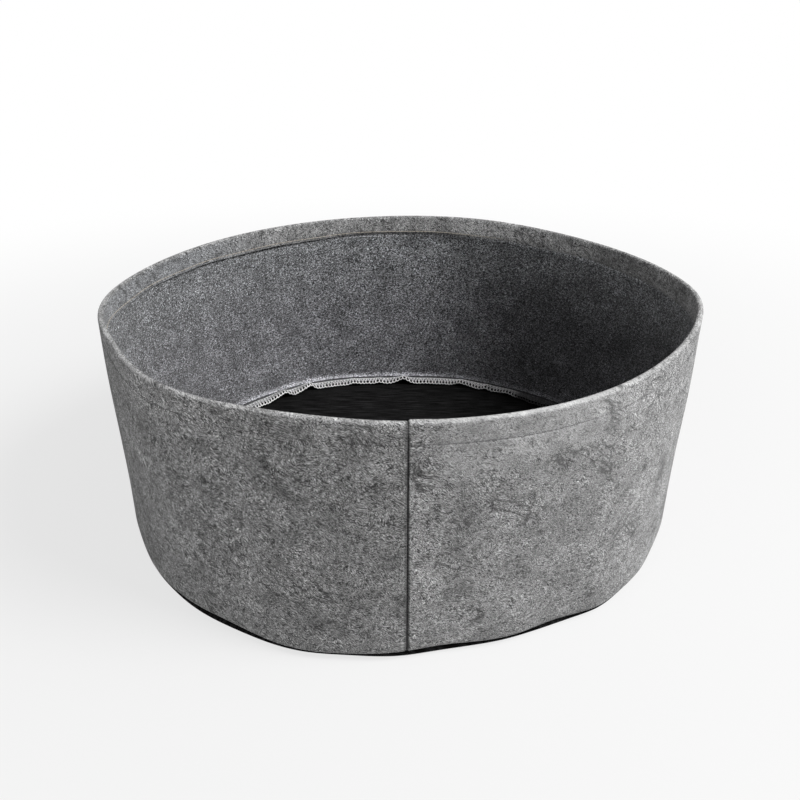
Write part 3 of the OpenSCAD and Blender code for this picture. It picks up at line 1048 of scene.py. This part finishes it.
    # inside, painted shade darkens the sewn crease along the base, and a painted highlight lightens the roll above it
    off = g.math("SUBTRACT", y, float(RV[I_PIVOT]))
    crease_shade = g.math("MULTIPLY", g.remap(g.math("ABSOLUTE", g.math("SUBTRACT", off, 0.2)), 1.5, 2.4, 1.0, 0.0, smooth=True), side)
    roll = g.math("MULTIPLY", g.math("MULTIPLY", g.remap(off, 2.0, 3.6, smooth=True), g.remap(off, 9.5, 15.0, 1.0, 0.0, smooth=True)), side)
    roll = g.math("MULTIPLY", roll, g.remap(g.math("ABSOLUTE", g.math("SUBTRACT", x, cloth_x(103.0))), 90.0, 190.0, 1.0, 0.42, smooth=True))
    val = g.math("MULTIPLY", val, g.math("MULTIPLY_ADD", crease_shade, -0.85, 1.0))
    val = g.math("MULTIPLY", val, g.math("MULTIPLY_ADD", roll, 2.1, 1.0))
    # painted highlight: the rim's crest is painted up to 35% paler
    val = g.math("MULTIPLY", val, g.math("MULTIPLY_ADD", crest_highlight, 0.35, 1.0))
    val = g.math("MULTIPLY", val, g.math("MULTIPLY_ADD", calm, 0.13, 1.0))
    # the wall is a little darker beside the side seam, below the hem
    beside_l = g.math("MULTIPLY", g.remap(x, 1735.0, 1790.0, smooth=True), g.remap(x, 1856.0, 1880.0, 1.0, 0.0, smooth=True))
    beside_r = g.math("MULTIPLY", g.remap(x, 70.0, 120.0, smooth=True), g.remap(x, 180.0, 230.0, 1.0, 0.0, smooth=True))
    below = g.math("MULTIPLY", g.remap(y, CREST - 62.0, CREST - 30.0, 1.0, 0.0, smooth=True), g.math("SUBTRACT", 1.0, side))
    beside = g.math("MULTIPLY", below, g.math("MULTIPLY_ADD", beside_l, -0.16, g.math("MULTIPLY", beside_r, -0.12)))
    val = g.math("MULTIPLY", val, g.math("ADD", 1.0, beside))
    shade = g.math("ADD", 1.0, g.math("MULTIPLY", g.math("SUBTRACT", cloud, 0.5), g.fmix(side, 1.6, 1.7)))
    val = g.math("MULTIPLY", val, shade)
    # painted shade darkens the fold to the left of the side seam
    away = g.math("ABSOLUTE", g.math("SUBTRACT", x, FULL))
    away = g.math("ADD", away, g.math("MULTIPLY", grain, 2.4))
    fold_shade = g.math("MULTIPLY", g.remap(away, 1.6, 3.6, 1.0, 0.0, smooth=True), g.math("SUBTRACT", 1.0, side))
    val = g.math("MULTIPLY", val, g.math("SUBTRACT", 1.0, g.math("MULTIPLY", fold_shade, 0.38)))
    # painted shade: little light reaches into the valley, so its lips are painted darker; painted light: at the back,
    # the felt just under the hem's raw edge is painted lighter
    lips = g.remap(g.math("MINIMUM", x, g.math("SUBTRACT", FULL, x)), 0.8, 2.0, 1.0, 0.0, smooth=True)
    val = g.math("MULTIPLY", val, g.math("MULTIPLY_ADD", g.math("MULTIPLY", lips, g.math("SUBTRACT", 1.0, side)), -0.74, 1.0))
    hem_edge_painted_light = g.math("MULTIPLY", g.remap(y, HEM_V - 4.5, HEM_V - 1.5, smooth=True), g.remap(y, HEM_V + 0.5, HEM_V + 3.0, 1.0, 0.0, smooth=True))
    hem_edge_painted_light = g.math("MULTIPLY", g.math("MULTIPLY", hem_edge_painted_light, side), g.remap(x, cloth_x(98.0), cloth_x(114.0), 1.0, 0.0, smooth=True))
    val = g.math("MULTIPLY", val, g.math("MULTIPLY_ADD", hem_edge_painted_light, 0.8, 1.0))
    # darker smudges where darker wool gathers, and a few long dark fibres
    smudge = g.noise(g.vec("ADD", w2, (310, 52, 0)), 0.024, 3.5, 0.62)
    smudge = g.math("MULTIPLY", g.remap(smudge, 0.55, 0.76, smooth=True), g.math("SUBTRACT", 1.0, side))
    val = g.math("MULTIPLY", val, g.math("MULTIPLY_ADD", smudge, -0.42, 1.0))
    hair = g.voronoi(g.turn(w, 33, (0.035, 0.15, 0.02)), 1.0, "DISTANCE_TO_EDGE")
    pick = g.noise(g.vec("ADD", q, (19, 3, 0)), 0.028, 0.0, 0.5)
    hairs = g.math("MULTIPLY", g.remap(hair, 0.0, 0.10, 1.0, 0.0, smooth=True), g.remap(pick, 0.60, 0.66))
    hairs = g.math("MULTIPLY", hairs, g.math("SUBTRACT", 1.0, side))
    val = g.math("MULTIPLY", val, g.math("SUBTRACT", 1.0, g.math("MULTIPLY", hairs, 0.6)))
    val = g.math("MINIMUM", g.math("MAXIMUM", val, 0.012), 0.92)
    col_f = g.tint(val, (1.0, 1.0, 1.0))
    col_b = g.tint(val, (0.985, 0.988, 1.055))
    cool = g.math("MAXIMUM", upper, g.math("MULTIPLY", turned, g.remap(x, cloth_x(118.0), cloth_x(150.0), smooth=True)))
    color = g.mix(cool, g.mix(side, col_f, col_b), g.tint(val, (0.972, 0.998, 1.04)))
    n1 = g.bump(s_all, 0.0006, 0.7)
    n2 = g.bump(tuft, 0.002, 0.3, n1)
    g.set(Base_Color=color, Roughness=0.95, Normal=n2, Sheen_Weight=0.2, Sheen_Roughness=0.6)
    g.feed(g.bsdf.inputs["Specular IOR Level"], 0.12)
    return g.mat


def base_material():
    g = Graph("black_base_fabric")
    at = g.attr("cloth")
    p = g.vec("SCALE", at.outputs["Vector"], scale=1000.0)
    x, y, z = g.split(p)
    rib = g.noise(g.turn(p, 2, (1 / 34.0, 1 / 1.5, 0.1)), 1.0, 2.0, 0.6)
    cross = g.noise(g.turn(p, 91, (1 / 14.0, 1 / 1.1, 0.1), (9, 4, 0)), 1.0, 1.0, 0.5)
    warp_t = g.math("SINE", g.math("MULTIPLY", x, 2 * PI / 1.3))
    weft_t = g.math("SINE", g.math("MULTIPLY", y, 2 * PI / 1.3))
    weave = g.math("MULTIPLY", warp_t, weft_t)
    cloud = g.noise(p, 0.02, 3.0, 0.6)
    val = g.math("ADD", 0.0022, g.math("MULTIPLY", g.math("SUBTRACT", rib, 0.465), 0.088))
    val = g.math("ADD", val, g.math("MULTIPLY", g.math("SUBTRACT", cross, 0.5), 0.008))
    val = g.math("ADD", val, g.math("MULTIPLY", weave, 0.0006))
    val = g.math("ADD", val, g.math("MULTIPLY", g.math("SUBTRACT", cloud, 0.5), 0.005))
    val = g.math("MAXIMUM", val, 0.001)
    h = g.math("ADD", g.math("MULTIPLY", rib, 0.8), g.math("ADD", g.math("MULTIPLY", cross, 0.25), g.math("MULTIPLY", weave, 0.12)))
    n1 = g.bump(h, 0.0008, 0.8)
    g.set(Base_Color=g.tint(val, (1.0, 1.0, 1.02)), Roughness=g.remap(cloud, 0.3, 0.7, 0.7, 0.86), Normal=n1)
    g.feed(g.bsdf.inputs["Specular IOR Level"], 0.07)
    return g.mat


def thread_material(name, color, spread, twist=0.9):
    g = Graph(name)
    at = g.attr("thread")
    x, ang, painted_shade = g.split(at.outputs["Vector"])
    turns = g.math("MULTIPLY", x, 1000.0 * 2 * PI / twist)
    ply = g.math("SINE", g.math("ADD", turns, g.math("MULTIPLY", ang, 2.0)))
    geo = g.node("ShaderNodeNewGeometry")
    pos = g.vec("SCALE", geo.outputs["Position"], scale=1000.0)
    fuzz = g.noise(pos, 3.5, 2.0, 0.6)
    tone = g.noise(pos, 0.12, 2.0, 0.5)
    val = g.math("ADD", 1.0, g.math("MULTIPLY", ply, 0.16))
    val = g.math("ADD", val, g.math("MULTIPLY", g.math("SUBTRACT", fuzz, 0.5), spread))
    val = g.math("ADD", val, g.math("MULTIPLY", g.math("SUBTRACT", tone, 0.5), 0.35))
    # painted shade: the thread attribute's third value darkens the thread
    val = g.math("MULTIPLY", val, g.math("ADD", painted_shade, 1.0))
    g.set(Base_Color=g.tint(val, color), Roughness=g.remap(fuzz, 0.3, 0.7, 0.55, 0.8),
          Normal=g.bump(g.math("ADD", ply, g.math("MULTIPLY", fuzz, 0.8)), 0.00012, 0.8), Sheen_Weight=0.15)
    g.feed(g.bsdf.inputs["Specular IOR Level"], 0.35)
    return g.mat


FELT_MAT = felt_material()
BASE_MAT = base_material()
THREADS = {
    "grey_thread": thread_material("thread_grey", (0.075, 0.075, 0.078), 0.4),
    "cream_thread": thread_material("thread_cream", (0.40, 0.36, 0.30), 0.4),
    "white_thread": thread_material("thread_white", (0.88, 0.88, 0.88), 0.4),
}
felt_wall.data.materials.append(FELT_MAT)
base_fabric.data.materials.append(BASE_MAT)
for ob in bpy.context.scene.objects:
    if ob.name.startswith("stitch_"):
        ob.data.materials.append(THREADS[ob["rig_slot"]])


# ---------------------------------------------------------------- studio
def floor():
    radii = [0.0, 0.15, 0.3, 0.5, 0.8, 1.2, 1.8, 2.8, 4.5, 8, 16, 40]
    n = 48
    v, f = [(0, 0, -0.0004)], []
    for r in radii[1:]:
        for k in range(n):
            v.append((r * math.cos(2 * PI * k / n), r * math.sin(2 * PI * k / n), -0.0004))
    for k in range(n):
        f.append((0, 1 + k, 1 + (k + 1) % n))
    for i in range(len(radii) - 2):
        for k in range(n):
            a0, a1 = 1 + i * n + k, 1 + i * n + (k + 1) % n
            f.append((a0, a0 + n, a1 + n, a1))
    ob = new_mesh("studio_floor", v, f, sharp=0)
    g = Graph("floor_white")
    g.set(Base_Color=(0.46, 0.46, 0.46), Roughness=0.9)
    g.feed(g.bsdf.inputs["Specular IOR Level"], 0.05)
    # the paper sweep brightens to white away from the bag
    geo = g.node("ShaderNodeNewGeometry")
    dist = g.vec("LENGTH", geo.outputs["Position"])
    ray = g.node("ShaderNodeLightPath")
    glow = g.node("ShaderNodeEmission")
    glow.inputs[0].default_value = (1, 1, 1, 1)
    glow.inputs[1].default_value = 1.0
    k = g.math("MULTIPLY", g.remap(dist, 0.33, 1.5, 0.74, 1.0, smooth=True), ray.outputs["Is Camera Ray"])
    mx = g.node("ShaderNodeMixShader")
    g.link(k, mx.inputs[0])
    g.link(g.bsdf.outputs[0], mx.inputs[1])
    g.link(glow.outputs[0], mx.inputs[2])
    g.link(mx.outputs[0], g.out.inputs[0])
    ob.data.materials.append(g.mat)


floor()

ORBIT = -math.radians(TURN)


def orbit(x, y, z):
    c, s_ = math.cos(ORBIT), math.sin(ORBIT)
    return (c * x - s_ * y, s_ * x + c * y, z)


cam_data = bpy.data.cameras.new("camera")
cam = bpy.data.objects.new("camera", cam_data)
bpy.context.scene.collection.objects.link(cam)
bpy.context.scene.camera = cam
cam_data.sensor_width = 36.0
cam_data.lens = 36.0 * 920.8 / 800.0
cam_data.shift_x = 0.00075
cam_data.clip_start = 0.01
cam_data.clip_end = 90
PITCH = math.radians(25.65)
unit = RIM * MM
cam.location = orbit(0.0, -3.397 * math.cos(PITCH) * unit, (3.397 * math.sin(PITCH) + 0.353) * unit)
cam.rotation_euler = (PI / 2 - PITCH, 0.0, ORBIT)


def area(name, loc, target, size, power, color=(1, 1, 1), flat=None):
    d = bpy.data.lights.new(name, "AREA")
    d.shape = "ELLIPSE" if flat else "DISK"
    d.size = size
    if flat:
        d.size_y = flat
    d.energy = power
    d.color = color
    o = bpy.data.objects.new(name, d)
    o.location = orbit(*loc)
    v = Vector(orbit(*target)) - Vector(o.location)
    o.rotation_euler = v.to_track_quat("-Z", "Y").to_euler()
    bpy.context.scene.collection.objects.link(o)
    return o


def sun_dir(az, el, dist):
    a_, e_ = math.radians(az), math.radians(el)
    return (dist * math.cos(a_) * math.cos(e_), dist * math.sin(a_) * math.cos(e_), dist * math.sin(e_))


area("key", sun_dir(-23, 48, 3.2), (0, 0, 0.1), 1.5, 131)
area("side", sun_dir(-5, 48, 3.2), (0, 0, 0.1), 1.5, 28)
area("fill", sun_dir(-134, 9, 2.9), (0, 0, 0.2), 1.7, 23.7, flat=0.5)

world = bpy.data.worlds.new("studio")
bpy.context.scene.world = world
world.use_nodes = True
wt = world.node_tree
wt.nodes.clear()
wo = wt.nodes.new("ShaderNodeOutputWorld")
lp = wt.nodes.new("ShaderNodeLightPath")
seen = wt.nodes.new("ShaderNodeBackground")
seen.inputs[0].default_value = (1, 1, 1, 1)
seen.inputs[1].default_value = 1.0
amb = wt.nodes.new("ShaderNodeBackground")
amb.inputs[0].default_value = (1, 1, 1, 1)
amb.inputs[1].default_value = 0.26
mixer = wt.nodes.new("ShaderNodeMixShader")
wt.links.new(lp.outputs["Is Camera Ray"], mixer.inputs[0])
wt.links.new(amb.outputs[0], mixer.inputs[1])
wt.links.new(seen.outputs[0], mixer.inputs[2])
wt.links.new(mixer.outputs[0], wo.inputs[0])

bpy.context.scene.view_settings.view_transform = "Standard"
